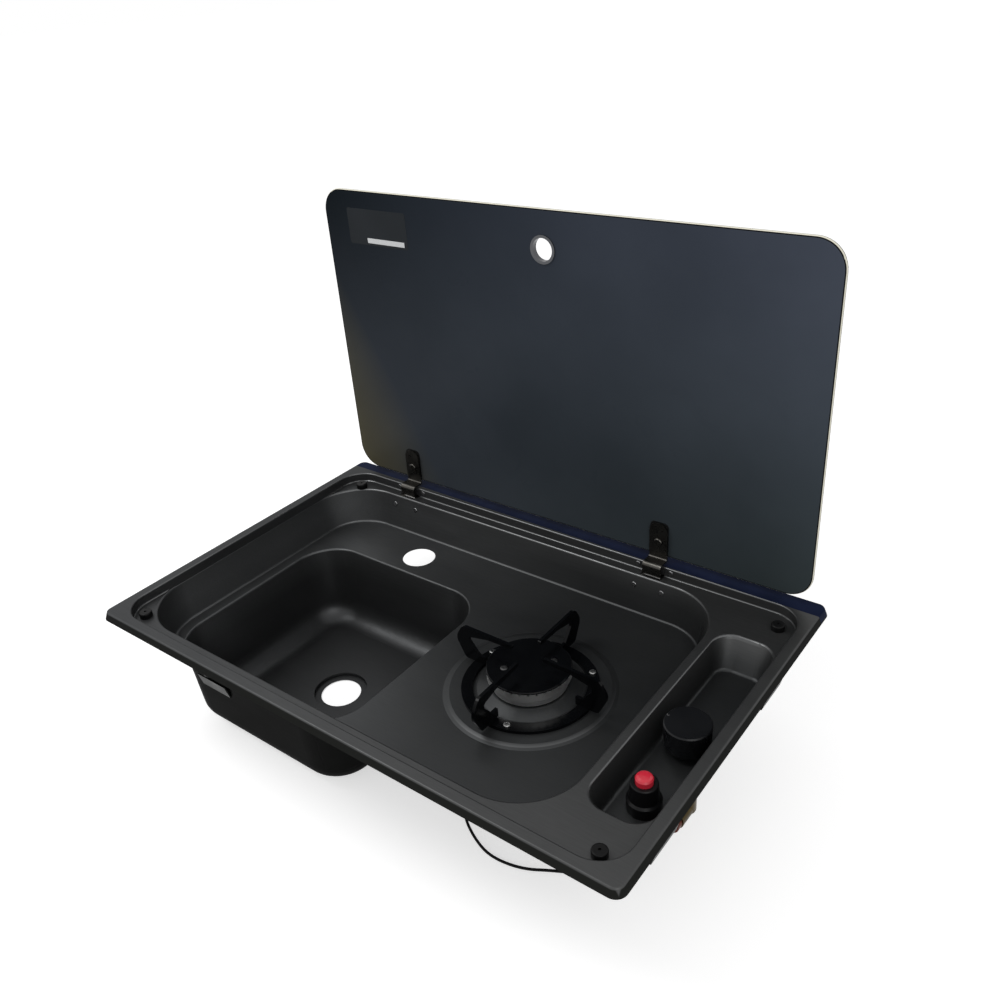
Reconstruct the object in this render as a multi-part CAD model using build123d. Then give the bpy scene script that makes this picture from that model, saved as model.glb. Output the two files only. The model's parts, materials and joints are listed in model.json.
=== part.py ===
from build123d import *
from math import atan2, cos, degrees, hypot, radians, sin, tan
import os

# Drop-in sink and one-burner hob with a folding glass lid, in millimetres, +Z up.
# Origin: plan centre of the flange, level with its top face. +X is the width, +Y points to the lid's hinges.

# Pressed tray. A box is (left, right, front, back).
SHEET = 0.8
FLANGE = (-294.5, 294.5, -185.5, 185)
FLANGE_CORNER = 7
FLANGE_BEND = 1.5
SKIRT_Z = -7.5
SKIRT_FLARE = 3
STEP = (-284, 284, -175, 165)
STEP_CORNER = 29
STEP_EDGE = 1.5
STEP_FOOT_BEND = 1.5
LEDGE_Z = -10.3
WELL_RIM = (-284, 214.7, -161.8, 153.6)
WELL_RIM_CORNER = 59.5
WELL_FLOOR = (-274, 207, -157, 145)
WELL_FLOOR_CORNER = 50
WELL_BEND = 2.5
DECK_Z = -50
BOWL_RIM = (-259.5, -23, -150.5, 78)
BOWL_RIM_CORNER = 45
BOWL_FLOOR = (-253.5, -30, -143.5, 71)
BOWL_FLOOR_CORNER = 39
BOWL_BEND = 24
BOWL_Z = -140
TROUGH_RIM = (223.8, 280, -124.2, 115.3)
TROUGH_RIM_CORNER = 20
TROUGH_FLOOR = (230.3, 276, -119, 98)
TROUGH_FLOOR_CORNER = 13
TROUGH_BEND = 3.5
TROUGH_Z = -38.5
LEDGE_RIM_BEND = 2
BOWL_RIM_BEND = 2

# Holes through the tray.
DRAIN = (-142.5, -36)
DRAIN_R = 21.5
DRAIN_SEAT_R = 28.5
DRAIN_SEAT_DEPTH = 4
TAP = (-142.5, 108.5)
TAP_R = 18.5

# Burner.
BURNER = (93.4, -5.7)
PLATEAU_R = 81.4
PLATEAU_TOP_R = 75.1
PLATEAU_HEIGHT = 2
PLATEAU_Z = DECK_Z + PLATEAU_HEIGHT
BURNER_HOLE_R = 47.4
BASE_RIM_R = 51
BASE_TOP_R = 37.5
BASE_TOP_Z = -43
BASE_BORE_R = 30
CROWN_BOTTOM_R = 35.5
CROWN_TOP_R = 39
CROWN_TOP_Z = -25
CROWN_SLOTS = 32
CAP_R = 39.5
CAP_TOP_Z = -23.3
RING_INNER_R = 52.8
RING_OUTER_R = 63.7
RING_THICKNESS = 3
ARM_THICKNESS = 3
SUPPORT_SCREW_R = 58.8
SUPPORT_SCREW_ANGLES = (163, 46, -75)
PROBE_R = 43.2
ELECTRODE_ANGLE = 128
THERMOCOUPLE_ANGLE = 98

# Controls in the trough.
KNOB = (255, -10.5)
KNOB_R = 20
KNOB_TOP_Z = -9
KNOB_BOTTOM_Z = -31
SPINDLE_R = 4
SPINDLE_END_Z = -60
VALVE_BORE_R = SPINDLE_R + 0.05
VALVE_PORT_Z = -60
MAGNET_Z = -101
INLET_R = 4
INLET_NECK_R = 3.4
INLET_Y = KNOB[1] + 24
INLET_NUT = 13
INLET_END_Y = 112
IGNITER = (255.5, -82.5)
BUTTON_R = 7.2
BUTTON_TOP_Z = -6
IGNITER_END_Z = -75
TERMINAL_END_Z = -81

# Lid and its hinges. The hinge axis runs along X through (HINGE_Y, HINGE_Z).
HINGE_Y = 171
HINGE_Z = -8
HINGE_XS = {"left": -197, "right": 127.4}
GLASS = 4
LID_WIDTH = 565
LID_FRONT_Y = 175
LID_BOTTOM_Z = 6
LID_TOP_Z = 336.6
LID_CORNER = 26
LID_EDGE = 1.8
LID_HOLE = (2, 299.2)
LID_HOLE_R = 12.2
GROMMET_BORE_R = 10.8
STRAP_WIDTH = 20
STRAP = 2
STRAP_PAD = 0.8
STRAP_TOP_Z = 44
STRAP_FOLD_Z = 2.8
STRAP_DROP_Y = 159
STRAP_SCREW_Z = 22
STRAP_SCREW_R = 2.5
PIN_R = 2
BARREL_R = 4.2
BARREL_BORE_R = PIN_R + 0.05
SLOT_WIDTH = 23
SLOT_FRONT_Y = 155.2
SLOT_BACK_Y = 166.5
SLOT_TOP_Z = -9.2
BRACKET = 1.2
BRACKET_WIDTH = 52
BRACKET_FOOT_Z = -27.5
EAR_GAP = 11
STEP_RIVET_X = 18.3
STEP_RIVET_Z = -4.6
WALL_RIVET_X = 15.5
WALL_RIVET_Z = -21.2
RIVET_R = 1.6

# Rubber and fixings.
BUMPERS = ((-264, -160), (264, -160), (-262, 147), (266, 143))
BUMPER_R = 6.4
BUMPER_TOP_Z = -4.3
SEAL_INSET = 3
SEAL_WIDTH = 4.5
SEAL_CORNER = 6
CLIP = 1.2
CLIP_WIDTH = 38
CLIP_BOTTOM_Z = -42
LEAD_R = 1.3

SEAT = 0.02  # air left between two pressed faces that lie together


def grown(box, by):
    left, right, front, back = box
    return (left - by, right + by, front - by, back + by)


def plan(box, corner, z):
    left, right, front, back = box
    centre = Pos((left + right) / 2, (front + back) / 2, z)
    return centre * RectangleRounded(right - left, back - front, corner)


def disc(centre, radius, bottom, top):
    align = (Align.CENTER, Align.CENTER, Align.MIN)
    return Pos(centre[0], centre[1], bottom) * Cylinder(radius, top - bottom, align=align)


def hexagon(centre, flats, bottom, top):
    outline = Pos(centre[0], centre[1], bottom) * RegularPolygon(flats / 2, 6, major_radius=False)
    return extrude(outline, top - bottom)


def turned(centre, points):
    """A body of revolution about a vertical axis, from (radius, z) points."""
    profile = make_face(Plane.XZ * Polyline(*points, close=True))
    return Pos(centre[0], centre[1], 0) * revolve(profile, Axis.Z)


def polar(centre, radius, angle):
    return (centre[0] + radius * cos(radians(angle)), centre[1] + radius * sin(radians(angle)))


def bar(start, end, radius):
    """A round bar between two points."""
    line = Line(start, end)
    return sweep(Plane(start, z_dir=line % 0) * Circle(radius), path=line)


def edges_at(body, box, z):
    """The edges that lie flat at one height, inside a plan box."""
    left, right, front, back = grown(box, 1)

    def lies_there(edge):
        size = edge.bounding_box()
        flat = abs(size.min.Z - z) < 0.01 and abs(size.max.Z - z) < 0.01
        across = size.min.X > left and size.max.X < right
        return flat and across and size.min.Y > front and size.max.Y < back

    return body.edges().filter_by(lies_there)


def pocket(rim, rim_corner, rim_z, floor, floor_corner, floor_z, bend, grow):
    top = plan(grown(rim, grow), rim_corner + grow, rim_z)
    bottom = plan(grown(floor, grow), floor_corner + grow, floor_z - grow)
    body = loft([top, bottom], ruled=True)
    return fillet(body.edges().group_by(Axis.Z)[0], bend + grow)


def slab(box, corner, bottom, top):
    return extrude(plan(box, corner, bottom), top - bottom)


def tray_hollow(grow, top_z):
    """The space that the tray holds, or with grow its outer form below the flange."""
    ledge = LEDGE_Z - grow
    deck = DECK_Z - grow
    step = slab(grown(STEP, grow), STEP_CORNER + grow, ledge, top_z)
    step = fillet(step.edges().group_by(Axis.Z)[0], STEP_FOOT_BEND + grow)
    body = slab(grown(STEP, 20), STEP_CORNER, ledge, top_z)
    body += pocket(WELL_RIM, WELL_RIM_CORNER, LEDGE_Z, WELL_FLOOR, WELL_FLOOR_CORNER, DECK_Z, WELL_BEND, grow)
    body += pocket(TROUGH_RIM, TROUGH_RIM_CORNER, LEDGE_Z, TROUGH_FLOOR, TROUGH_FLOOR_CORNER, TROUGH_Z,
                   TROUGH_BEND, grow)
    body += pocket(BOWL_RIM, BOWL_RIM_CORNER, DECK_Z, BOWL_FLOOR, BOWL_FLOOR_CORNER, BOWL_Z, BOWL_BEND, grow)
    body = fillet(edges_at(body, WELL_RIM, ledge), LEDGE_RIM_BEND - grow)
    body = fillet(edges_at(body, TROUGH_RIM, ledge), LEDGE_RIM_BEND - grow)
    body = fillet(edges_at(body, BOWL_RIM, deck), BOWL_RIM_BEND - grow)
    over_well = LEDGE_RIM_BEND + grow
    body -= slab(grown(STEP, 20), STEP_CORNER, ledge, top_z)
    body += slab(grown(WELL_RIM, over_well), WELL_RIM_CORNER + over_well, ledge, LEDGE_Z + STEP_FOOT_BEND)
    body &= slab(grown(STEP, grow), STEP_CORNER + grow, BOWL_Z - 20, top_z)
    body += step
    body += disc(DRAIN, DRAIN_SEAT_R + grow, BOWL_Z - DRAIN_SEAT_DEPTH - grow, BOWL_Z)
    plateau = Cone(PLATEAU_R, PLATEAU_TOP_R, PLATEAU_HEIGHT, align=(Align.CENTER, Align.CENTER, Align.MIN))
    return body - Pos(BURNER[0], BURNER[1], deck) * plateau


def flange_form(inset, top_z):
    """The flange's outside, or with an inset the space under it. The skirt leans outwards."""
    lean = SKIRT_FLARE / SKIRT_Z
    top = plan(grown(FLANGE, lean * top_z - inset), FLANGE_CORNER + lean * top_z - inset, top_z)
    foot = plan(grown(FLANGE, SKIRT_FLARE - inset), FLANGE_CORNER + SKIRT_FLARE - inset, SKIRT_Z)
    body = loft([foot, top], ruled=True)
    return fillet(body.edges().group_by(Axis.Z)[-1], FLANGE_BEND - inset)


def tray_shell():
    """One sheet, from the leaning skirt to the drain's seat."""
    shell = flange_form(0, 0) - flange_form(SHEET, -SHEET) + tray_hollow(SHEET, 0)
    shell -= tray_hollow(0, 1)
    shell = fillet(edges_at(shell, STEP, 0), STEP_EDGE)
    shell = fillet(edges_at(shell, STEP, -SHEET), STEP_EDGE - SHEET)
    shell -= disc(DRAIN, DRAIN_R, BOWL_Z - 10, BOWL_Z)
    shell -= disc(TAP, TAP_R, DECK_Z - 2, DECK_Z + 1)
    shell -= disc(BURNER, BURNER_HOLE_R, DECK_Z - 2, DECK_Z + 4)
    shell -= disc(KNOB, 6.3, TROUGH_Z - 2, TROUGH_Z + 1)
    shell -= disc(IGNITER, 8.8, TROUGH_Z - 2, TROUGH_Z + 1)
    for angle in SUPPORT_SCREW_ANGLES:
        shell -= disc(polar(BURNER, SUPPORT_SCREW_R, angle), 2, DECK_Z - 2, DECK_Z + 4)
    for spot in BUMPERS:
        shell -= disc(spot, 2.5, LEDGE_Z - 2, LEDGE_Z + 1)
    slot_depth = SLOT_BACK_Y - SLOT_FRONT_Y
    for x in HINGE_XS.values():
        shell -= Pos(x, (SLOT_FRONT_Y + SLOT_BACK_Y) / 2, SLOT_TOP_Z - 2) * Box(SLOT_WIDTH, slot_depth, 4)
        for place in rivet_places(x):
            shell -= place * rivet_hole()
    return shell


def lid_bumpers():
    spots = []
    for spot in BUMPERS:
        head = disc(spot, BUMPER_R, LEDGE_Z, BUMPER_TOP_Z)
        head = fillet(head.edges().group_by(Axis.Z)[-1], 1.4)
        head -= disc(spot, 1.3, BUMPER_TOP_Z - 1.2, BUMPER_TOP_Z)
        stem = disc(spot, 2.4, LEDGE_Z - SHEET - 4, LEDGE_Z)
        barb = Pos(spot[0], spot[1], LEDGE_Z - SHEET - 3) * Cone(1.8, 3.4, 2.6)
        spots.append(head + stem + barb)
    return Compound(spots)


# Burner

def burner_base():
    rim = PLATEAU_Z
    profile = [(BASE_RIM_R, rim), (BASE_RIM_R, rim + 0.9), (BASE_RIM_R - 1.6, rim + 0.9),
               (BASE_TOP_R, BASE_TOP_Z), (BASE_BORE_R, BASE_TOP_Z), (BASE_BORE_R, BASE_TOP_Z - 0.9),
               (BASE_TOP_R - 0.3, BASE_TOP_Z - 0.9), (BASE_RIM_R - 2.2, rim)]
    base = turned(BURNER, profile)
    for angle in (ELECTRODE_ANGLE, THERMOCOUPLE_ANGLE):
        base -= disc(polar(BURNER, PROBE_R, angle), 4, rim - 1, BASE_TOP_Z + 1)
    return base


def burner_body():
    """The cast cup under the deck that carries the crown and mixes the gas."""
    under = BASE_TOP_Z - 0.9
    top = BASE_TOP_Z + 1.4
    cup = turned(BURNER, [(10, -68), (29, -68), (29, -52), (33.6, -49), (33.6, under), (29.8, under),
                          (29.8, top), (26.5, top), (26.5, -65.5), (10, -65.5)])
    for angle in (30, 150, 270):
        window = Box(14, 12, 12)
        cup -= Pos(BURNER[0], BURNER[1], -59) * Rot(0, 0, angle) * Pos(28, 0, 0) * window
    return cup


def burner_injector():
    """The brass jet holder in the cup's floor, with its side connection."""
    holder = disc(BURNER, 9.9, -84, -62) + hexagon(BURNER, 24, -84, -68.1)
    holder -= disc(BURNER, 0.6, -70, -61)
    holder += bar((BURNER[0], BURNER[1], -76), (BURNER[0] + 24, BURNER[1], -76), 6)
    return holder


def burner_crown():
    seat = BASE_TOP_Z + 1.45
    profile = [(21, seat), (CROWN_BOTTOM_R, seat), (CROWN_BOTTOM_R, -37.5), (CROWN_TOP_R, -33),
               (CROWN_TOP_R, CROWN_TOP_Z), (34, CROWN_TOP_Z), (34, -33), (31, -37.5), (21, -37.5)]
    crown = turned(BURNER, profile)
    crown += turned(BURNER, [(26.4, seat - 4), (26.4, seat), (23.4, seat), (23.4, seat - 4)])
    slot = Pos(37, 0, CROWN_TOP_Z - 1.2) * Box(8, 1.6, 2.5)
    for i in range(CROWN_SLOTS):
        crown -= Pos(BURNER[0], BURNER[1], 0) * Rot(0, 0, 360 * i / CROWN_SLOTS) * slot
    return crown


def burner_cap():
    profile = [(0, CROWN_TOP_Z), (0, CAP_TOP_Z + 0.3), (CAP_R - 3, CAP_TOP_Z), (CAP_R - 0.9, CAP_TOP_Z),
               (CAP_R, CAP_TOP_Z - 0.8), (CAP_R, CROWN_TOP_Z)]
    cap = turned(BURNER, profile)
    return cap + turned(BURNER, [(33.6, CROWN_TOP_Z - 3), (33.6, CROWN_TOP_Z), (30.5, CROWN_TOP_Z),
                                 (30.5, CROWN_TOP_Z - 3)])


def spark_electrode():
    spot = polar(BURNER, PROBE_R, ELECTRODE_ANGLE)
    ceramic = turned(spot, [(0, -64), (2.4, -64), (2.4, -52), (3.6, -51), (3.6, -38), (2.4, -33), (0, -33)])
    return ceramic + disc(spot, 0.9, -33.5, -27.5) + disc(spot, 1.3, -68, -63.5)


def thermocouple():
    spot = polar(BURNER, PROBE_R, THERMOCOUPLE_ANGLE)
    return turned(spot, [(0, -66), (2.2, -66), (2.2, -56), (3.5, -56), (3.5, -46), (2, -44), (2, -31),
                         (1.2, -28), (0, -28)])


def pan_arm():
    """One hairpin arm, standing on the ring and reaching in over the cap, drawn in radius and height."""
    ring_top = PLATEAU_Z + RING_THICKNESS
    foot_top = ring_top + 8.4
    outline = make_face(Plane.XZ * Polyline(
        (50.5, ring_top), (74, ring_top), (84.4, -24), (75.5, -8.4), (17, -8.4), (17.6, -12.4),
        (46, -13.6), (71.5, -19.4), (57.5, foot_top), (50.5, foot_top), close=True))
    outline = fillet([v for v in outline.vertices() if v.X > 80], 12)
    outline = fillet([v for v in outline.vertices() if 75 < v.X < 76 and v.Z > -10], 8)
    outline = fillet([v for v in outline.vertices() if 71 < v.X < 72 and v.Z > -20], 4)
    outline = fillet([v for v in outline.vertices() if 73.5 < v.X < 74.5 and v.Z < -44], 4)
    outline = fillet([v for v in outline.vertices() if v.X < 18], 1.4)
    return extrude(outline, ARM_THICKNESS / 2, both=True)


def pan_support():
    bottom = PLATEAU_Z
    ring = disc(BURNER, RING_OUTER_R, bottom, bottom + RING_THICKNESS)
    ring -= disc(BURNER, RING_INNER_R, bottom, bottom + RING_THICKNESS)
    for turn in range(4):
        ring += Pos(BURNER[0], BURNER[1], 0) * Rot(0, 0, 90 * turn) * pan_arm()
    for angle in SUPPORT_SCREW_ANGLES:
        ring -= disc(polar(BURNER, SUPPORT_SCREW_R, angle), 2.1, bottom - 1, bottom + RING_THICKNESS + 1)
    return ring


def support_screws():
    top = PLATEAU_Z + RING_THICKNESS
    screws = []
    for angle in SUPPORT_SCREW_ANGLES:
        spot = polar(BURNER, SUPPORT_SCREW_R, angle)
        head = disc(spot, 3.4, top, top + 2.2)
        head = fillet(head.edges().group_by(Axis.Z)[-1], 1.2)
        head -= Pos(spot[0], spot[1], top + 2) * (Box(3.6, 0.9, 1.6) + Box(0.9, 3.6, 1.6))
        screws.append(head + disc(spot, 1.95, DECK_Z - 8, top))
    return Compound(screws)


def support_nuts():
    nuts = []
    for angle in SUPPORT_SCREW_ANGLES:
        spot = polar(BURNER, SUPPORT_SCREW_R, angle)
        top = PLATEAU_Z - SHEET
        nuts.append(hexagon(spot, 7, top - 3.2, top) - disc(spot, 1.97, top - 4, top + 1))
    return Compound(nuts)


# Gas valve and knob

def burner_knob():
    under = KNOB_TOP_Z - 2.6
    profile = [(0, KNOB_TOP_Z), (KNOB_R - 1, KNOB_TOP_Z), (KNOB_R, KNOB_TOP_Z - 1),
               (KNOB_R - 0.7, KNOB_BOTTOM_Z), (KNOB_R - 2.6, KNOB_BOTTOM_Z), (KNOB_R - 2.2, under),
               (7, under), (7, KNOB_BOTTOM_Z + 1), (0, KNOB_BOTTOM_Z + 1)]
    knob = turned(KNOB, profile)
    return knob - spindle_bar(SPINDLE_R + SEAT, KNOB_BOTTOM_Z, -16 + SEAT)


def spindle_bar(radius, bottom, top):
    """A round bar with one flat, which keys the knob to the spindle."""
    flat = Pos(KNOB[0], KNOB[1] + radius + 1.2, (bottom + top) / 2) * Box(3 * radius, 4.4, top - bottom)
    return disc(KNOB, radius, bottom, top) - flat


def valve_spindle():
    return disc(KNOB, SPINDLE_R, SPINDLE_END_Z, -34) + spindle_bar(SPINDLE_R, -34.5, -16)


def gas_valve_body():
    top = TROUGH_Z - SHEET
    body = turned(KNOB, [(0, -105), (8.6, -105), (9.6, -104), (9.6, -74), (13, -70), (13, top), (6, top),
                         (6, -34.8), (0, -34.8)])
    port = VALVE_PORT_Z
    body += bar((KNOB[0], KNOB[1], port), (KNOB[0] - 22, KNOB[1], port), 6.5)
    body += bar((KNOB[0], KNOB[1], port), (KNOB[0], INLET_Y, port), 7.5)
    body += bar((KNOB[0], KNOB[1], MAGNET_Z), (KNOB[0], KNOB[1] - 20, MAGNET_Z), 9)
    body -= disc(KNOB, VALVE_BORE_R, SPINDLE_END_Z, -34)
    return body - disc(KNOB, 5.05, -88, SPINDLE_END_Z)


def magnet_unit():
    y = KNOB[1]
    unit = bar((KNOB[0], y - 20, MAGNET_Z), (KNOB[0], y - 27, MAGNET_Z), 8)
    return unit + bar((KNOB[0], y - 27, MAGNET_Z), (KNOB[0], y - 36, MAGNET_Z), 4.5)


def valve_plunger():
    return disc(KNOB, 5, -64, SPINDLE_END_Z) + disc(KNOB, 2, -80, -64)


def valve_spring():
    return disc(KNOB, 4.6, -88, -64) - disc(KNOB, 2.7, -88, -64)


def valve_nut():
    return hexagon(KNOB, 17, TROUGH_Z, TROUGH_Z + 3) - disc(KNOB, 6.05, TROUGH_Z - 1, TROUGH_Z + 4)


def tube(points, radius, bends):
    path = FilletPolyline(*points, radius=bends)
    return sweep(Plane(points[0], z_dir=path % 0) * Circle(radius), path=path)


def gas_pipe():
    start = (KNOB[0] - 22, KNOB[1], VALVE_PORT_Z)
    end = (BURNER[0] + 24, BURNER[1], -76)
    return tube([start, (200, KNOB[1], VALVE_PORT_Z), (158, BURNER[1], -76), end], 3, 22)


def pipe_nuts():
    """The two nuts that hold the pipe to the valve and to the jet holder."""
    at_valve = Pos(KNOB[0] - 22, KNOB[1], VALVE_PORT_Z) * Rot(0, -90, 0)
    at_jet = Pos(BURNER[0] + 24, BURNER[1], -76) * Rot(0, 90, 0)
    nut = extrude(RegularPolygon(6.5, 6, major_radius=False), 9) - extrude(Circle(3.02), 9)
    return Compound([at_valve * nut, at_jet * nut])


def inlet_pipe():
    """The gas pipe's free end, with a thinner neck inside the nut."""
    start = (KNOB[0], INLET_Y, VALVE_PORT_Z)
    shoulder = (KNOB[0], INLET_Y + INLET_NUT, VALVE_PORT_Z)
    end = (KNOB[0], INLET_END_Y, VALVE_PORT_Z)
    return bar(start, shoulder, INLET_NECK_R) + bar(shoulder, end, INLET_R)


def inlet_nut():
    outside = extrude(RegularPolygon(8.5, 6, major_radius=False), INLET_NUT)
    nut = outside - extrude(Circle(INLET_NECK_R + SEAT), INLET_NUT)
    return Pos(KNOB[0], INLET_Y, VALVE_PORT_Z) * Rot(-90, 0, 0) * nut


def thermocouple_lead():
    start = (KNOB[0], KNOB[1] - 36, MAGNET_Z)
    spot = polar(BURNER, PROBE_R, THERMOCOUPLE_ANGLE)
    points = [start, (KNOB[0], -66, MAGNET_Z), (226, -72, -104), (180, -48, -106), (134, 4, -100),
              (spot[0] + 8, spot[1] + 2, -96), (spot[0], spot[1], -82), (spot[0], spot[1], -66)]
    return tube(points, 0.9, [14, 18, 24, 24, 12, 8])


# Spark igniter

def igniter_bezel():
    top = -12
    profile = [(7.6, -32), (7.6, top), (10.2, top), (11, top - 0.8), (12, -25.5), (12.2, -27), (14.1, -28.6),
               (14.1, TROUGH_Z), (8.52, TROUGH_Z), (8.52, -32)]
    return turned(IGNITER, profile)


def igniter_body():
    profile = [(0, IGNITER_END_Z), (7, IGNITER_END_Z), (7, -62), (8.5, -61), (8.5, -32.02), (3.3, -32.02),
               (3.3, -34), (5.5, -34), (5.5, -60), (0, -60)]
    return turned(IGNITER, profile)


def igniter_nut():
    top = TROUGH_Z - SHEET
    return hexagon(IGNITER, 24, top - 4.5, top) - disc(IGNITER, 8.52, top - 5, top + 1)


def igniter_button():
    profile = [(0, BUTTON_TOP_Z + 0.4), (4.2, BUTTON_TOP_Z + 0.2), (6.2, BUTTON_TOP_Z - 0.6),
               (BUTTON_R, BUTTON_TOP_Z - 2), (BUTTON_R, -24), (3, -24), (3, -34.4), (5.2, -34.4), (5.2, -37),
               (3, -37), (3, -54), (0, -54)]
    return turned(IGNITER, profile)


def igniter_spring():
    return disc(IGNITER, 5, -60, -37) - disc(IGNITER, 3.4, -60, -37)


def igniter_terminal():
    return disc(IGNITER, 2.6, TERMINAL_END_Z + 2, IGNITER_END_Z) + disc(IGNITER, 1.3, TERMINAL_END_Z,
                                                                       TERMINAL_END_Z + 2)


def lead_route():
    """The spark lead's points, from the igniter down, forward in a slack loop, and up to the electrode."""
    spot = polar(BURNER, PROBE_R, ELECTRODE_ANGLE)
    return [(IGNITER[0], IGNITER[1], TERMINAL_END_Z), (255.5, -82.5, -99), (247, -85, -117), (228, -92, -126),
            (207, -99, -131), (183, -107, -135), (158, -118, -139), (128, -122, -140), (104, -114, -141),
            (83, -103, -134), (70, -84, -122), (62, -58, -112), (60, -29, -104), (63, -1, -99),
            (spot[0] + 0.5, spot[1] - 7, -94), (spot[0], spot[1], -83), (spot[0], spot[1], -68)]


def lead_bends(points):
    """At each inner point the largest arc that its two runs allow."""
    bends = []
    for before, at, after in zip(points, points[1:], points[2:]):
        run_in = Vector(at) - Vector(before)
        run_out = Vector(after) - Vector(at)
        turn = run_in.get_angle(run_out)
        bends.append(0.45 * min(run_in.length, run_out.length) / tan(radians(turn / 2)))
    return bends


def igniter_lead():
    points = lead_route()
    bends = lead_bends(points)
    lead = tube(points, LEAD_R, bends)
    length = lead.volume / (Circle(LEAD_R).area)
    runs = sum(hypot(*(b - a for a, b in zip(p, q))) for p, q in zip(points, points[1:]))
    print("lead bends", [round(b, 1) for b in bends])
    print("lead length by volume", round(length, 1), "straight runs", round(runs, 1))
    return lead


# Hinges

WALL_SLOPE = (WELL_RIM[3] - WELL_FLOOR[3]) / (LEDGE_Z - DECK_Z + SHEET)
WALL_TILT = degrees(atan2(WALL_SLOPE, 1))


def wall_y(z):
    """The well's back wall on its outer side, at one height."""
    return WELL_RIM[3] + SHEET + SEAT - (LEDGE_Z - z) * WALL_SLOPE


def rivet_places(x):
    """Where one hinge's rivets sit on the inner side of the sheet, each with its lean off the Y axis."""
    inner_slope = (WELL_RIM[3] - WELL_FLOOR[3]) / (LEDGE_Z - DECK_Z)
    wall_front = WELL_RIM[3] - (LEDGE_Z - WALL_RIVET_Z) * inner_slope - 2 * SEAT
    step = [Pos(x + side * STEP_RIVET_X, STEP[3], STEP_RIVET_Z) for side in (-1, 1)]
    lean = Rot(-WALL_TILT, 0, 0)
    wall = [Pos(x + side * WALL_RIVET_X, wall_front, WALL_RIVET_Z) * lean for side in (-1, 1)]
    return step + wall


def rivet_hole():
    return Rot(90, 0, 0) * Cylinder(RIVET_R, 8)


def hinge_bracket(x):
    """A folded plate behind the step and the well's wall, with two ears for the pin."""
    step_y = STEP[3] + SHEET + SEAT
    under = LEDGE_Z - SHEET - SEAT
    half = BRACKET_WIDTH / 2
    section = make_face(Plane.YZ * Polyline(
        (step_y, -1.6), (step_y, under), (wall_y(under) + 1.8, under), (wall_y(under - 1.8), under - 1.8),
        (wall_y(BRACKET_FOOT_Z), BRACKET_FOOT_Z), (wall_y(BRACKET_FOOT_Z) + BRACKET, BRACKET_FOOT_Z),
        (wall_y(under - BRACKET) + BRACKET, under - BRACKET), (step_y + BRACKET, under - BRACKET),
        (step_y + BRACKET, -1.6), close=True))
    plate = extrude(section, half, both=True)
    window_y = wall_y(under) + BRACKET + 0.1
    plate -= Pos(0, window_y + 10, -6) * Box(2 * EAR_GAP, 20, 16)
    ear = make_face(Plane.YZ * Polyline(
        (window_y, under - 0.2), (step_y + 0.3, under - 0.2), (step_y + 0.3, -2.4), (175.4, -2.4),
        (175.4, -12), (168, -16.6), (window_y, -16.6), close=True))
    ear -= Plane.YZ * Pos(HINGE_Y, HINGE_Z) * Circle(PIN_R + SEAT)
    ears = extrude(ear, BRACKET, dir=(1, 0, 0))
    plate += Pos(EAR_GAP, 0, 0) * ears
    plate += Pos(-EAR_GAP - BRACKET, 0, 0) * ears
    for place in rivet_places(0):
        plate -= place * rivet_hole()
    return Pos(x, 0, 0) * plate


def hinge_pins():
    pins = []
    for x in HINGE_XS.values():
        reach = EAR_GAP + BRACKET
        pin = bar((x - reach - 1, HINGE_Y, HINGE_Z), (x + reach + 1, HINGE_Y, HINGE_Z), PIN_R)
        pin += bar((x + reach + 0.1, HINGE_Y, HINGE_Z), (x + reach + 1.6, HINGE_Y, HINGE_Z), 3.2)
        pin += bar((x - reach - 1.1, HINGE_Y, HINGE_Z), (x - reach - 0.1, HINGE_Y, HINGE_Z), 2.8)
        pins.append(pin)
    return Compound(pins)


def rivet():
    """A rivet through the sheet and the bracket, its head towards the front and its tail behind."""
    stack = SHEET + 5 * SEAT + BRACKET
    head = bar((0, -0.9, 0), (0, 0, 0), 2.7)
    head = chamfer(head.edges().group_by(Axis.Y)[0], 0.5)
    return head + bar((0, 0, 0), (0, stack, 0), RIVET_R) + bar((0, stack, 0), (0, stack + 0.9, 0), 2.4)


def hinge_rivets():
    return Compound([place * rivet() for x in HINGE_XS.values() for place in rivet_places(x)])


def hinge_strap(x):
    """The strap folds forward over the flange's edge and curls back under it to its barrel."""
    lid_face = LID_FRONT_Y - STRAP_PAD - STRAP / 2
    curl_z = HINGE_Z - BARREL_R + STRAP / 2
    points = [(x, lid_face, STRAP_TOP_Z), (x, lid_face, STRAP_FOLD_Z), (x, STRAP_DROP_Y, STRAP_FOLD_Z),
              (x, STRAP_DROP_Y, curl_z), (x, HINGE_Y, curl_z)]
    path = FilletPolyline(*points, radius=[2.4, 3.5, 3.5])
    section = Plane(points[0], x_dir=(1, 0, 0), z_dir=path % 0) * Rectangle(STRAP_WIDTH, STRAP)
    strap = sweep(section, path=path)
    barrel = Pos(x, HINGE_Y, HINGE_Z) * Rot(0, 90, 0) * Cylinder(BARREL_R, STRAP_WIDTH)
    strap += barrel
    strap -= Pos(x, HINGE_Y, HINGE_Z) * Rot(0, 90, 0) * Cylinder(BARREL_BORE_R, STRAP_WIDTH + 2)
    top = strap.edges().filter_by(Axis.Y).group_by(Axis.Z)[-1]
    strap = fillet(top, STRAP_WIDTH / 2 - 0.6)
    hole = bar((x, lid_face - 3, STRAP_SCREW_Z), (x, lid_face + 3, STRAP_SCREW_Z), STRAP_SCREW_R + 0.1)
    return strap - hole


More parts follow.
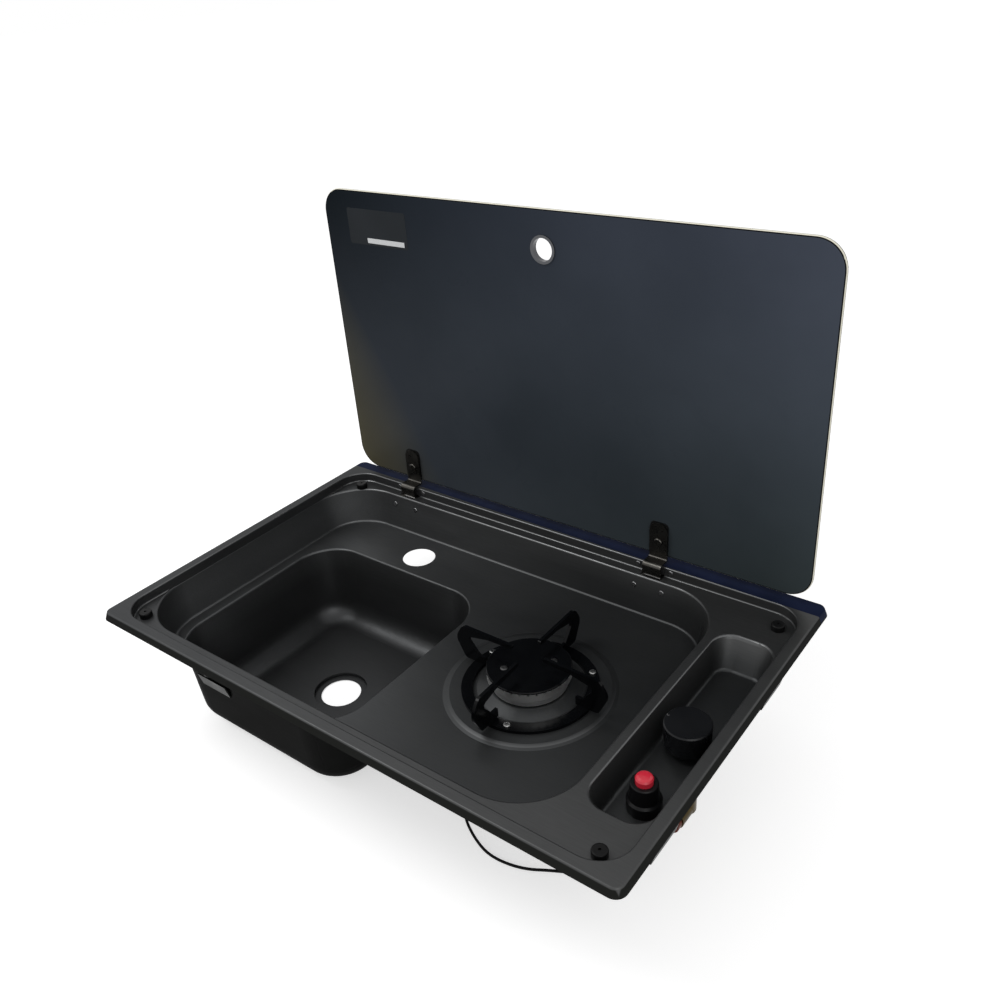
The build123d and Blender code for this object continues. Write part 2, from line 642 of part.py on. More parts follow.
def strap_pads():
    pads = []
    back = LID_FRONT_Y + GLASS
    for x in HINGE_XS.values():
        front_pad = Pos(x, LID_FRONT_Y, (STRAP_TOP_Z + 8) / 2) * Rot(90, 0, 0) * extrude(
            RectangleRounded(STRAP_WIDTH, STRAP_TOP_Z - 8, 5), STRAP_PAD)
        back_pad = bar((x, back, STRAP_SCREW_Z), (x, back + 0.6, STRAP_SCREW_Z), 9)
        hole = bar((x, LID_FRONT_Y - 3, STRAP_SCREW_Z), (x, back + 3, STRAP_SCREW_Z), STRAP_SCREW_R + 0.1)
        pads.append(front_pad - hole)
        pads.append(back_pad - hole)
    return Compound(pads)


def strap_screws():
    screws = []
    face = LID_FRONT_Y - STRAP_PAD - STRAP
    for x in HINGE_XS.values():
        head = bar((x, face, STRAP_SCREW_Z), (x, face - 1.8, STRAP_SCREW_Z), 4.6)
        head = chamfer(head.edges().group_by(Axis.Y)[0], 0.7)
        socket = Pos(x, face - 1.8, STRAP_SCREW_Z) * Rot(90, 0, 0) * extrude(
            RegularPolygon(1.5, 6, major_radius=False), 1.2, both=True)
        shank = bar((x, face, STRAP_SCREW_Z), (x, LID_FRONT_Y + GLASS + 2.4, STRAP_SCREW_Z), STRAP_SCREW_R)
        screws.append(head - socket + shank)
    return Compound(screws)


def lid_discs():
    """The domed discs on the lid's outer face that take the strap screws."""
    discs = []
    back = LID_FRONT_Y + GLASS + 0.6
    for x in HINGE_XS.values():
        cap = bar((x, back, STRAP_SCREW_Z), (x, back + 3.2, STRAP_SCREW_Z), 10)
        cap = fillet(cap.edges().group_by(Axis.Y)[-1], 1.6)
        discs.append(cap - bar((x, back - 1, STRAP_SCREW_Z), (x, back + 1.8, STRAP_SCREW_Z), STRAP_SCREW_R))
    return Compound(discs)


def glass_lid():
    height = LID_TOP_Z - LID_BOTTOM_Z
    middle = (LID_TOP_Z + LID_BOTTOM_Z) / 2
    back = LID_FRONT_Y + GLASS
    outline = RectangleRounded(LID_WIDTH, height, LID_CORNER)
    sheet = Pos(0, back, middle) * Rot(90, 0, 0) * extrude(outline, GLASS)
    sheet = fillet(sheet.edges().group_by(Axis.Y)[0] + sheet.edges().group_by(Axis.Y)[-1], LID_EDGE)
    hole_x, hole_z = LID_HOLE
    sheet -= bar((hole_x, LID_FRONT_Y - 1, hole_z), (hole_x, back + 1, hole_z), LID_HOLE_R)
    for x in HINGE_XS.values():
        sheet -= bar((x, LID_FRONT_Y - 1, STRAP_SCREW_Z), (x, back + 1, STRAP_SCREW_Z), STRAP_SCREW_R + 0.8)
    return sheet


def lid_grommet():
    x, z = LID_HOLE
    front = LID_FRONT_Y
    back = LID_FRONT_Y + GLASS
    ring = bar((x, front - 0.9, z), (x, front, z), 13.6) + bar((x, back, z), (x, back + 0.9, z), 13.6)
    ring += bar((x, front - 0.5, z), (x, back + 0.5, z), LID_HOLE_R - 0.02)
    return ring - bar((x, front - 2, z), (x, back + 2, z), GROMMET_BORE_R)


# Sealing and fixing to the worktop

def flange_seal():
    outside = plan(grown(FLANGE, -SEAL_INSET), SEAL_CORNER, SKIRT_Z)
    inside = plan(grown(FLANGE, -SEAL_INSET - SEAL_WIDTH), SEAL_CORNER - SEAL_WIDTH, SKIRT_Z)
    return extrude(outside - inside, -SHEET - SKIRT_Z)


def spring_clip():
    """A folded spring strip for the cut-out's edge, drawn on the tray's right side."""
    wall = STEP[1] + SHEET + SEAT + CLIP / 2
    points = [(wall, 0, -3), (wall, 0, CLIP_BOTTOM_Z), (wall + 5.6, 0, -20)]
    path = FilletPolyline(*points, radius=1.1)
    section = Plane(points[0], x_dir=(0, 1, 0), z_dir=path % 0) * Rectangle(CLIP_WIDTH, CLIP)
    return sweep(section, path=path)


def fixing_clips():
    clip = spring_clip()
    to_front = STEP[1] + STEP[2]
    clips = [Pos(0, -111, 0) * clip, Pos(0, 80, 0) * clip]
    clips += [Rot(0, 0, 180) * Pos(0, 111, 0) * clip, Rot(0, 0, 180) * Pos(0, -80, 0) * clip]
    clips.append(Pos(-138, to_front, 0) * Rot(0, 0, -90) * clip)
    return Compound(clips)


def build():
    nodes = {
        "tray_shell": tray_shell(),
        "lid_bumpers": lid_bumpers(),
        "flange_seal": flange_seal(),
        "fixing_clips": fixing_clips(),
        "burner_base": burner_base(),
        "burner_body": burner_body(),
        "burner_injector": burner_injector(),
        "burner_crown": burner_crown(),
        "burner_cap": burner_cap(),
        "spark_electrode": spark_electrode(),
        "thermocouple": thermocouple(),
        "pan_support": pan_support(),
        "support_screws": support_screws(),
        "support_nuts": support_nuts(),
        "burner_knob": burner_knob(),
        "valve_spindle": valve_spindle(),
        "valve_plunger": valve_plunger(),
        "valve_spring": valve_spring(),
        "valve_nut": valve_nut(),
        "gas_valve_body": gas_valve_body(),
        "magnet_unit": magnet_unit(),
        "gas_pipe": gas_pipe(),
        "pipe_nuts": pipe_nuts(),
        "inlet_pipe": inlet_pipe(),
        "inlet_nut": inlet_nut(),
        "thermocouple_lead": thermocouple_lead(),
        "igniter_bezel": igniter_bezel(),
        "igniter_body": igniter_body(),
        "igniter_nut": igniter_nut(),
        "igniter_button": igniter_button(),
        "igniter_spring": igniter_spring(),
        "igniter_terminal": igniter_terminal(),
        "igniter_lead": igniter_lead(),
        "hinge_pins": hinge_pins(),
        "hinge_rivets": hinge_rivets(),
        "strap_pads": strap_pads(),
        "strap_screws": strap_screws(),
        "lid_discs": lid_discs(),
        "glass_lid": glass_lid(),
        "lid_grommet": lid_grommet(),
    }
    for side, x in HINGE_XS.items():
        nodes[f"hinge_bracket_{side}"] = hinge_bracket(x)
        nodes[f"hinge_strap_{side}"] = hinge_strap(x)
    return nodes


os.makedirs("parts", exist_ok=True)
for node_name, shape in build().items():
    export_step(shape, f"parts/{node_name}.step")
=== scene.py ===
import json
from math import cos, radians, sin

import bmesh
import bpy
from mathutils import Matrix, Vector


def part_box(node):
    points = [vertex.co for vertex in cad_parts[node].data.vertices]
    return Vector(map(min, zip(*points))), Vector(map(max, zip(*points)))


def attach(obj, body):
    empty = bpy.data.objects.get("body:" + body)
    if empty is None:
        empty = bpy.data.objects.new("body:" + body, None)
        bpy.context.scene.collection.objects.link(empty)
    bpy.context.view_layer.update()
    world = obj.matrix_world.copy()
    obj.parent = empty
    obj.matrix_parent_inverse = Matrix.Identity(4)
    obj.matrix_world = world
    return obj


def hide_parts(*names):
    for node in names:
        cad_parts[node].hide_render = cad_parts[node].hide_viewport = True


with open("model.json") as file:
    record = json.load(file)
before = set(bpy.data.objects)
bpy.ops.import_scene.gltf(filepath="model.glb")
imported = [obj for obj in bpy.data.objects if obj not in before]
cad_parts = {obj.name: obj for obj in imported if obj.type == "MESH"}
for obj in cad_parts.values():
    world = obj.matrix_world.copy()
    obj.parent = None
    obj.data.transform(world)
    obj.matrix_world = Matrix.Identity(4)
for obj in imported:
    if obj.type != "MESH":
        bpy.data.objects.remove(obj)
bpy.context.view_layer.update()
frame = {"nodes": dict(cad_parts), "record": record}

MM = 0.001
nodes = frame["nodes"]
collection = bpy.context.scene.collection

# The camera's place and turn are fitted to the photograph's viewpoint. The lens and the sensor are in millimetres.
AZIMUTH = radians(39.05)
ELEVATION = radians(29.44)
ROLL = radians(4.5)
TARGET = Vector((-0.08535, 0.19171, 0.0))
DISTANCE = 1.08962
LENS = 34.475
SENSOR = 36.0
CLIP = 0.01, 200.0


def add_camera():
    data = bpy.data.cameras.new("camera")
    data.lens = LENS
    data.sensor_width = SENSOR
    data.clip_start, data.clip_end = CLIP
    camera = bpy.data.objects.new("camera", data)
    collection.objects.link(camera)
    back = Vector((sin(AZIMUTH) * cos(ELEVATION), -cos(AZIMUTH) * cos(ELEVATION), sin(ELEVATION)))
    level = Vector((cos(AZIMUTH), sin(AZIMUTH), 0.0))
    upright = back.cross(level)
    right = cos(ROLL) * level - sin(ROLL) * upright
    up = sin(ROLL) * level + cos(ROLL) * upright
    place = TARGET + DISTANCE * back
    matrix = camera.matrix_world.copy()
    for column, axis in enumerate((right, up, back, place)):
        for row in range(3):
            matrix[row][column] = axis[row]
    camera.matrix_world = matrix
    bpy.context.scene.camera = camera


add_camera()


class Paint:
    """A material's node tree, with the few nodes that the finishes share.

    Every pattern is laid out in the piece's own coordinates.
    """

    def __init__(self, name, colour, roughness, metallic=0.0):
        self.material = bpy.data.materials.new(name)
        self.material.use_nodes = True
        self.tree = self.material.node_tree
        self.shader = self.tree.nodes["Principled BSDF"]
        self.shader.inputs["Base Color"].default_value = (*colour, 1.0)
        self.shader.inputs["Roughness"].default_value = roughness
        self.shader.inputs["Metallic"].default_value = metallic
        self.object = self.add("ShaderNodeTexCoord").outputs["Object"]

    def add(self, kind, **settings):
        node = self.tree.nodes.new(kind)
        for name, value in settings.items():
            setattr(node, name, value)
        return node

    def link(self, source, target):
        self.tree.links.new(source, target)

    def set(self, **values):
        for name, value in values.items():
            self.shader.inputs[name.replace("_", " ")].default_value = value
        return self

    def stretched(self, stretch):
        mapping = self.add("ShaderNodeMapping")
        mapping.inputs["Scale"].default_value = stretch
        self.link(self.object, mapping.inputs["Vector"])
        return mapping.outputs["Vector"]

    def noise(self, scale, stretch=(1.0, 1.0, 1.0), detail=3.0, distortion=0.0):
        texture = self.add("ShaderNodeTexNoise")
        texture.inputs["Scale"].default_value = scale
        texture.inputs["Detail"].default_value = detail
        texture.inputs["Distortion"].default_value = distortion
        self.link(self.stretched(stretch), texture.inputs["Vector"])
        return texture.outputs["Fac"]

    def math(self, operation, first, second, third=None):
        node = self.add("ShaderNodeMath", operation=operation)
        for slot, value in zip(node.inputs, (first, second, third)):
            if isinstance(value, bpy.types.NodeSocket):
                self.link(value, slot)
            elif value is not None:
                slot.default_value = value
        return node.outputs["Value"]

    def product(self, first, second):
        return self.math("MULTIPLY", first, second)

    def parts(self, vector):
        """A vector's X, Y and Z."""
        node = self.add("ShaderNodeSeparateXYZ")
        self.link(vector, node.inputs["Vector"])
        return node.outputs

    def spread(self, value, low, high, start=0.3, end=0.7):
        """The value's range from start to end, laid over low to high and held there outside it."""
        node = self.add("ShaderNodeMapRange")
        for name, number in (("From Min", start), ("From Max", end), ("To Min", low), ("To Max", high)):
            node.inputs[name].default_value = number
        self.link(value, node.inputs["Value"])
        return node.outputs["Result"]

    def mix(self, factor, first, second):
        node = self.add("ShaderNodeMix", data_type="RGBA")
        self.link(factor, node.inputs[0])
        for slot, value in ((node.inputs[6], first), (node.inputs[7], second)):
            if isinstance(value, bpy.types.NodeSocket):
                self.link(value, slot)
            else:
                slot.default_value = (*value, 1.0)
        return node.outputs[2]

    def colour(self, socket):
        self.link(socket, self.shader.inputs["Base Color"])
        return self

    def roughness(self, socket):
        self.link(socket, self.shader.inputs["Roughness"])
        return self

    def bump(self, height, strength, depth):
        """Relief of the given depth in metres. Calls add up."""
        node = self.add("ShaderNodeBump")
        node.inputs["Strength"].default_value = strength
        node.inputs["Distance"].default_value = depth
        self.link(height, node.inputs["Height"])
        normal = self.shader.inputs["Normal"]
        if normal.links:
            self.link(normal.links[0].from_socket, node.inputs["Normal"])
        self.link(node.outputs["Normal"], normal)
        return self


def moulded(name, colour, rough=(0.4, 0.55), grain=900.0, depth=0.00006, patch=14.0, lift=1.35, shine=0.5):
    """Plastic, rubber or foam with a fine moulded grain and slightly uneven gloss."""
    paint = Paint(name, colour, rough[0])
    paint.set(Specular_IOR_Level=shine)
    lighter = tuple(min(1.0, c * lift + 0.002) for c in colour)
    paint.colour(paint.mix(paint.spread(paint.noise(patch), 0.0, 1.0), colour, lighter))
    paint.roughness(paint.spread(paint.noise(patch * 3.0), *rough))
    return paint.bump(paint.noise(grain, detail=2.0), 0.5, depth)


def metal(name, colour, rough=(0.25, 0.4), grain=1400.0, stretch=(1.0, 1.0, 1.0), depth=0.00002, patch=25.0,
          stain=0.8):
    """Bare metal with a fine grain, duller patches and light staining."""
    paint = Paint(name, colour, rough[0], 1.0)
    darker = tuple(c * stain for c in colour)
    paint.colour(paint.mix(paint.spread(paint.noise(patch, detail=5.0), 0.0, 1.0), colour, darker))
    paint.roughness(paint.spread(paint.noise(patch * 2.0, detail=5.0), *rough))
    return paint.bump(paint.noise(grain, stretch, detail=2.0), 0.4, depth)


# The tray's colours. The raised and the sunken steel each run from the left to the right. These changes from zone to
# zone and from side to side are painted reflection and shade.
STEEL = (0.058, 0.0595, 0.061)
RAISED_STEEL_SHADING = (0.08, 0.082, 0.084), (0.08, 0.081, 0.081)
SUNKEN_STEEL_SHADING = (0.1, 0.103, 0.105), (0.052, 0.054, 0.055)
WORN_STEEL = tuple(0.6 * c for c in STEEL)
# The bends' colour is a painted highlight.
BEND_HIGHLIGHT = (0.12, 0.122, 0.124)
# The skirt's colour is painted shade.
SKIRT_SHADE = (0.0115, 0.012, 0.011)
# The underside's colour is painted shade.
UNDERSIDE_SHADE = (0.0055, 0.0057, 0.0054)
STEEL_METALLIC = 0.75
STEEL_ROUGH = (0.36, 0.44)

# The tray's zones, in metres: the spans in X and Z over which a colour gives way to the next, the flat top's half width
# and half depth, the bends' heights, the dish's centre and the reach round it that has no painted bend highlight.
RAISED_SPAN = -0.25, 0.29
SUNKEN_SPAN = -0.12, 0.06
RECESS_FALL = -0.03, -0.012
BOWL_FALL = -0.08, -0.05
FLAT_HALF = 0.2936, 0.1843
RIM_FALL = -0.0136, -0.013
DECK_BEND, DECK_BEND_REACH = -0.0478, 0.0013
BURNER_DISH = (0.0934, -0.0057, -0.0465)
DISH_REACH = 0.075, 0.078


def tray_steel():
    """Satin coated steel with a fine grain along the width. Its colour carries painted light: lighter and darker zones
    by height and side, a painted highlight on the bends, and painted shade on the skirt and underneath.
    """
    paint = Paint("satin_steel", STEEL, 0.42, STEEL_METALLIC)
    paint.set(Specular_IOR_Level=0.2, Specular_Tint=(0.3, 0.3, 0.3, 1.0))
    place = paint.parts(paint.object)
    facing = paint.parts(paint.add("ShaderNodeNewGeometry").outputs["Normal"])
    grain = paint.noise(900.0, (0.05, 1.0, 1.0), detail=3.0)
    cloud = paint.noise(9.0, detail=6.0, distortion=0.4)
    # Painted reflection and shade: the colour changes by height, between the raised top, the sunken deck and the bowl,
    # and from left to right.
    raised = paint.mix(paint.spread(place["X"], 0.0, 1.0, *RAISED_SPAN), *RAISED_STEEL_SHADING)
    sunken = paint.mix(paint.spread(place["X"], 0.0, 1.0, *SUNKEN_SPAN), *SUNKEN_STEEL_SHADING)
    face = paint.mix(paint.spread(place["Z"], 0.0, 1.0, *RECESS_FALL), sunken, raised)
    face = paint.mix(paint.spread(place["Z"], 1.0, 0.0, *BOWL_FALL), face, STEEL)
    face = paint.mix(paint.spread(cloud, 0.0, 0.2), face, WORN_STEEL)
    face = paint.mix(paint.spread(grain, 0.0, 0.22), face, WORN_STEEL)

    # This mask is a painted highlight along the bends: neither flat nor steep, at the rims' heights, inside the flat
    # top, leaning to the front and the right, and away from the burner's dish.
    bend = paint.product(paint.spread(facing["Z"], 0.0, 1.0, 0.42, 0.6),
                         paint.spread(facing["Z"], 1.0, 0.0, 0.93, 0.985))
    rim = paint.math("MAXIMUM", paint.spread(place["Z"], 0.0, 1.0, *RIM_FALL),
                     paint.math("COMPARE", place["Z"], DECK_BEND, DECK_BEND_REACH))
    past = [paint.math("SUBTRACT", paint.math("ABSOLUTE", place[axis], 0.0), half)
            for axis, half in zip("XY", FLAT_HALF)]
    outside = paint.math("MAXIMUM", *past)
    inside = paint.spread(outside, 1.0, 0.0, -0.004, -0.003)
    inside = paint.product(inside, paint.spread(facing["Y"], 1.0, 0.0, 0.05, 0.2))
    inside = paint.product(inside, paint.spread(facing["X"], 0.0, 1.0, -0.2, -0.05))
    burner = paint.add("ShaderNodeVectorMath", operation="DISTANCE")
    burner.inputs[1].default_value = BURNER_DISH
    paint.link(paint.object, burner.inputs[0])
    inside = paint.product(inside, paint.spread(burner.outputs["Value"], 0.0, 1.0, *DISH_REACH))
    bend_highlight = paint.product(paint.product(bend, rim), inside)
    face = paint.mix(bend_highlight, face, BEND_HIGHLIGHT)

    # Painted shade: the outer skirt, below the flat top's edge, is darkened.
    skirt_shade = paint.product(paint.spread(outside, 0.0, 1.0, 0.0, 0.0008),
                          paint.spread(place["Z"], 1.0, 0.0, -0.0016, -0.0008))
    face = paint.mix(skirt_shade, face, SKIRT_SHADE)
    # Painted shade: faces that look downward are darkened nearly to black. They are also rougher.
    below = paint.spread(facing["Z"], 1.0, 0.0, -0.03, -0.02)
    paint.colour(paint.mix(below, face, UNDERSIDE_SHADE))
    smear = paint.noise(26.0, (0.35, 1.0, 1.0), detail=6.0, distortion=0.8)
    rough = paint.math("ADD", paint.spread(smear, *STEEL_ROUGH), paint.spread(grain, -0.02, 0.02))
    rough = paint.math("MULTIPLY_ADD", bend_highlight, -0.12, rough)
    paint.roughness(paint.math("MULTIPLY_ADD", below, 0.12, rough))
    paint.bump(grain, 0.12, 0.00002)
    return paint.bump(paint.noise(7.0, detail=1.0), 0.1, 0.001)


# The lid's colours, at its corners, which are painted reflections, and the glass's depth in Y: its dark edge line, its
# pale ground edge and its back.
LID_LOW_LEFT = (0.058, 0.066, 0.082)
LID_LOW_RIGHT = (0.042, 0.054, 0.056)
LID_TOP_LEFT = (0.005, 0.008, 0.011)
LID_TOP_RIGHT = (0.068, 0.08, 0.108)
LID_OLIVE_REFLECTION = (0.1, 0.09, 0.055)
LID_BLACK = (0.004, 0.004, 0.004)
LID_GROUND = (0.86, 0.83, 0.7)
# The glass itself reflects only faintly, because its reflections are painted into the colour.
LID_SPECULAR = 0.02
LID_WIDTH_SPAN = -0.28, 0.28
LID_HEIGHT_SPAN = 0.0, 0.33
LINE_START = 0.175, 0.17502
GROUND_START = 0.17534, 0.17545
GROUND_END = 0.1766, 0.1769


def lid_glass():
    """Dark backed glass, faintly mottled, with a pale ground edge. Its colour carries painted reflections: bluer at the
    top right and olive low on the left.
    """
    paint = Paint("tinted_glass", (0.012, 0.015, 0.018), 0.3)
    paint.set(IOR=1.5, Specular_IOR_Level=LID_SPECULAR)
    place = paint.parts(paint.object)
    cloud = paint.noise(5.0, detail=4.0)
    # Painted reflections: the colour runs between the corners' colours and turns olive low on the left.
    across = paint.spread(place["X"], 0.0, 1.0, *LID_WIDTH_SPAN)
    height = paint.spread(place["Z"], 0.0, 1.0, *LID_HEIGHT_SPAN)
    low = paint.mix(across, LID_LOW_LEFT, LID_LOW_RIGHT)
    high = paint.mix(across, LID_TOP_LEFT, LID_TOP_RIGHT)
    face = paint.mix(height, low, high)
    corner = paint.math("ADD", paint.spread(place["X"], 0.0, 1.0, -0.28, -0.1), height)
    face = paint.mix(paint.spread(corner, 1.0, 0.0, 0.1, 0.75), face, LID_OLIVE_REFLECTION)
    face = paint.mix(paint.spread(cloud, 0.0, 0.35), face, tuple(0.8 * c for c in LID_TOP_LEFT))
    line = paint.spread(place["Y"], 0.0, 1.0, *LINE_START)
    ground = paint.spread(place["Y"], 0.0, 1.0, *GROUND_START)
    lip = paint.spread(place["Y"], 1.0, 0.0, *GROUND_END)
    edge = paint.product(ground, lip)
    face = paint.mix(line, face, LID_BLACK)
    paint.colour(paint.mix(edge, face, LID_GROUND))
    rough = paint.spread(paint.noise(18.0, detail=6.0, distortion=0.5), 0.26, 0.34)
    paint.roughness(paint.math("MULTIPLY_ADD", edge, 0.15, rough))
    return paint.bump(paint.noise(1600.0, detail=2.0), 0.1, 0.00001)


# One finish for each of the record's material slots.
PAINTS = {
    "steel": tray_steel(),
    "bumper_rubber": moulded("bumper_rubber", (0.003, 0.003, 0.0032), (0.3, 0.42), shine=0.12),
    "seal_foam": moulded("seal_foam", (0.012, 0.012, 0.012), (0.8, 0.95), 1400.0, 0.0003, shine=0.2),
    "spring_steel": metal("spring_steel", (0.02, 0.0205, 0.02), (0.4, 0.52)),
    "burner_alloy": metal("burner_alloy", (0.17, 0.17, 0.17), (0.4, 0.55), 500.0, depth=0.0001),
    "crown_alloy": metal("crown_alloy", (0.95, 0.95, 0.94), (0.34, 0.44), 700.0, (1.0, 1.0, 0.08), 0.00001),
    # Painted shade: brass and copper are darkened well below their own colour for their place under the tray.
    "brass": metal("brass", (0.085, 0.06, 0.02), (0.28, 0.45), stain=0.5),
    "copper": metal("copper", (0.14, 0.035, 0.02), (0.3, 0.45), stain=0.45),
    "black_enamel": moulded("black_enamel", (0.001, 0.0012, 0.0016), (0.14, 0.24), 420.0, 0.00002, shine=0.12),
    "ceramic": moulded("ceramic", (0.62, 0.6, 0.54), (0.3, 0.45), 500.0, 0.00003, lift=1.08),
    "probe_steel": metal("probe_steel", (0.3, 0.28, 0.25), (0.3, 0.45), stain=0.6),
    "screw_steel": metal("screw_steel", (0.34, 0.34, 0.335), (0.22, 0.36)),
    "knob_plastic": moulded("knob_plastic", (0.0035, 0.0038, 0.0045), (0.24, 0.34), 1100.0, 0.00003, shine=0.2),
    "black_plastic": moulded("black_plastic", (0.003, 0.003, 0.0034), (0.26, 0.38), 1000.0, 0.00004, shine=0.16),
    "red_plastic": moulded("red_plastic", (0.62, 0.022, 0.045), (0.16, 0.26), 900.0, 0.00003, lift=1.12),
    "lead_rubber": moulded("lead_rubber", (0.003, 0.003, 0.0032), (0.4, 0.55), 1500.0, 0.00003, shine=0.1),
    "hinge_steel": metal("hinge_steel", (0.1, 0.096, 0.088), (0.22, 0.36), 900.0, (1.0, 1.0, 0.1), 0.00006, 60.0,
                         0.55),
    "rivet_steel": metal("rivet_steel", (0.2, 0.2, 0.205), (0.25, 0.4)),
    "pad_rubber": moulded("pad_rubber", (0.0035, 0.0035, 0.0037), (0.5, 0.65), shine=0.15),
    "tinted_glass": lid_glass(),
    "grommet_metal": metal("grommet_metal", (0.09, 0.092, 0.098), (0.2, 0.32)),
}


def dress_nodes():
    """Gives each CAD node its slot's finish."""
    for part in frame["record"]["subparts"]:
        mesh = nodes[part["node"]].data
        mesh.materials.clear()
        mesh.materials.append(PAINTS[part["material_slot"]].material)


dress_nodes()


def piece(name, body, paint, points=(), faces=(), bm=None):
    """A mesh piece of the object, from points and faces in metres or from a bmesh."""
    mesh = bpy.data.meshes.new(name)
    if bm is None:
        mesh.from_pydata(points, [], faces)
    else:
        bm.to_mesh(mesh)
        bm.free()
    mesh.materials.append(paint.material)
    made = bpy.data.objects.new(name, mesh)
    collection.objects.link(made)
    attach(made, body)
    return made


def tube(name, spline_kind, points, radius, steps, material):
    """A capped round tube along a curve through or near the points, in metres."""
    curve = bpy.data.curves.new(name, "CURVE")
    curve.dimensions = "3D"
    curve.bevel_depth = radius
    curve.bevel_resolution = steps
    curve.use_fill_caps = True
    spline = curve.splines.new(spline_kind)
    spline.points.add(len(points) - 1)
    for point, place in zip(spline.points, points):
        point.co = (*place, 1.0)
    curve.materials.append(material)
    made = bpy.data.objects.new(name, curve)
    collection.objects.link(made)
    return made


# The spark lead, on the route that the CAD source gives in millimetres, from the igniter's terminal to the electrode.
LEAD_RADIUS = 0.0013
LEAD_ROUTE = (
    (255.5, -82.5, -81), (255.5, -82.5, -99), (247, -85, -117), (228, -92, -126), (207, -99, -131),
    (183, -107, -135), (158, -118, -139), (128, -122, -140), (104, -114, -141), (83, -103, -134),
    (70, -84, -122), (62, -58, -112), (60, -29, -104), (63, -1, -99), (67.3, 21.3, -94),
    (66.8, 28.3, -83), (66.8, 28.3, -68),
)


def add_lead():
    route = [tuple(MM * value for value in place) for place in LEAD_ROUTE]
    lead = tube("spark_lead", "NURBS", route, LEAD_RADIUS, 5, PAINTS["lead_rubber"].material)
    lead.data.resolution_u = 12
    lead.data.splines[0].order_u = 3
    lead.data.splines[0].use_endpoint_u = True
    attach(lead, "tray")
    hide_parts("igniter_lead")


add_lead()


def rounded(left, right, low, high, radius, steps=8):
    """The outline of a rounded rectangle, counter-clockwise, from its top right corner."""
    corners = ((right - radius, high - radius, 0), (left + radius, high - radius, 90),
               (left + radius, low + radius, 180), (right - radius, low + radius, 270))
    outline = []
    for x, y, turn in corners:
        for step in range(steps + 1):
            angle = radians(turn + 90 * step / steps)
            outline.append((x + radius * cos(angle), y + radius * sin(angle)))
    return outline


# The bare label on the lid's inner face, with its blank strip: left, right, bottom, top, the corner's radius and
# how far each stands off the glass. The gap keeps their back edges off it.
LID_FACE = 0.175
LABEL_GAP = 0.00002
LABEL_FOIL = (-0.249, -0.167, 0.2805, 0.318, 0.002, 0.00012)
LABEL_STRIP = (-0.2235, -0.1715, 0.2828, 0.2880, 0.0004, 0.00016)


def walls(start, count):
    """The faces between two outlines of the same count, the second listed straight after the first."""
    for i in range(count):
        j = (i + 1) % count
        yield (start + i, start + i + count, start + j + count, start + j)


def add_label(name, paint, left, right, low, high, radius, lift):
    outline = rounded(left, right, low, high, radius)
    points = [(x, LID_FACE - off, z) for off in (lift, LABEL_GAP) for x, z in outline]
    faces = [tuple(range(len(outline))), *walls(0, len(outline))]
    piece(name, "lid", paint, points, faces)


add_label("label_foil", moulded("label_foil", (0.011, 0.0135, 0.0165), (0.3, 0.42), 900.0, 0.00001, shine=0.08),
          *LABEL_FOIL)
add_label("label_strip", moulded("label_strip", (0.6, 0.61, 0.62), (0.4, 0.5), 900.0, 0.00001, lift=1.1),
          *LABEL_STRIP)


# The blue transit film left on the back of the flange: the flange's own faces, behind a line under the lid, down to
# FILM_LOWEST on the skirt, lifted off the steel.
FILM_FRONT = ((-0.286, 0.1715), (0.290, 0.1655))
FILM_LIFT = 0.00005
FILM_LOWEST = -0.0064
FILM_LEAST_RISE = 0.1


def add_film():
    shell = nodes["tray_shell"].data
    bm = bmesh.new()
    bm.from_mesh(shell)
    left, right = (Vector((x, y, 0.0)) for x, y in FILM_FRONT)
    away = Vector((left.y - right.y, right.x - left.x, 0.0)).normalized()
    for point, normal in ((left, -away), (Vector((0.0, 0.0, FILM_LOWEST)), Vector((0.0, 0.0, -1.0)))):
        whole = bm.verts[:] + bm.edges[:] + bm.faces[:]
        bmesh.ops.bisect_plane(bm, geom=whole, plane_co=point, plane_no=normal, clear_outer=True)
    inner = [face for face in bm.faces if face.normal.z < FILM_LEAST_RISE]
    bmesh.ops.delete(bm, geom=inner, context="FACES")
    bmesh.ops.remove_doubles(bm, verts=bm.verts[:], dist=1e-6)
    bm.normal_update()
    for vert in bm.verts:
        vert.co += FILM_LIFT * vert.normal
    film = moulded("film_blue", (0.003, 0.006, 0.021), (0.4, 0.5), 60.0, 0.00006, 30.0, 1.6, 0.02)
    piece("transit_film", "tray", film, bm=bm)


add_film()


# A thin dark sheet behind each hinge, hung from the flange's underside, is painted shade: it hides the bright floor
# seen through the hinges' slots. Half its width, its two faces in Y, its bottom and top, and its corners' radius. The
# photograph shows no light through the hinges' slots.
SLOT_SHADE_HALF = 0.026
SLOT_SHADE_FACES = (0.1763, 0.1771)
SLOT_SHADE_LOW, SLOT_SHADE_TOP = -0.0272, -0.0008
SLOT_SHADE_CORNER = 0.003


def add_hinge_slot_shade():
    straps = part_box("hinge_strap_left"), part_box("hinge_strap_right")
    points, faces = [], []
    for low, high in straps:
        middle = (low[0] + high[0]) / 2
        outline = rounded(middle - SLOT_SHADE_HALF, middle + SLOT_SHADE_HALF, SLOT_SHADE_LOW, SLOT_SHADE_TOP, SLOT_SHADE_CORNER, 5)
        start, count = len(points), len(outline)
        points += [(x, y, z) for y in SLOT_SHADE_FACES for x, z in outline]
        faces.append(tuple(start + i for i in range(count)))
        faces.append(tuple(start + count + i for i in reversed(range(count))))
        faces += walls(start, count)
    piece("hinge_slot_shades", "tray", PAINTS["pad_rubber"], points, faces)


add_hinge_slot_shade()


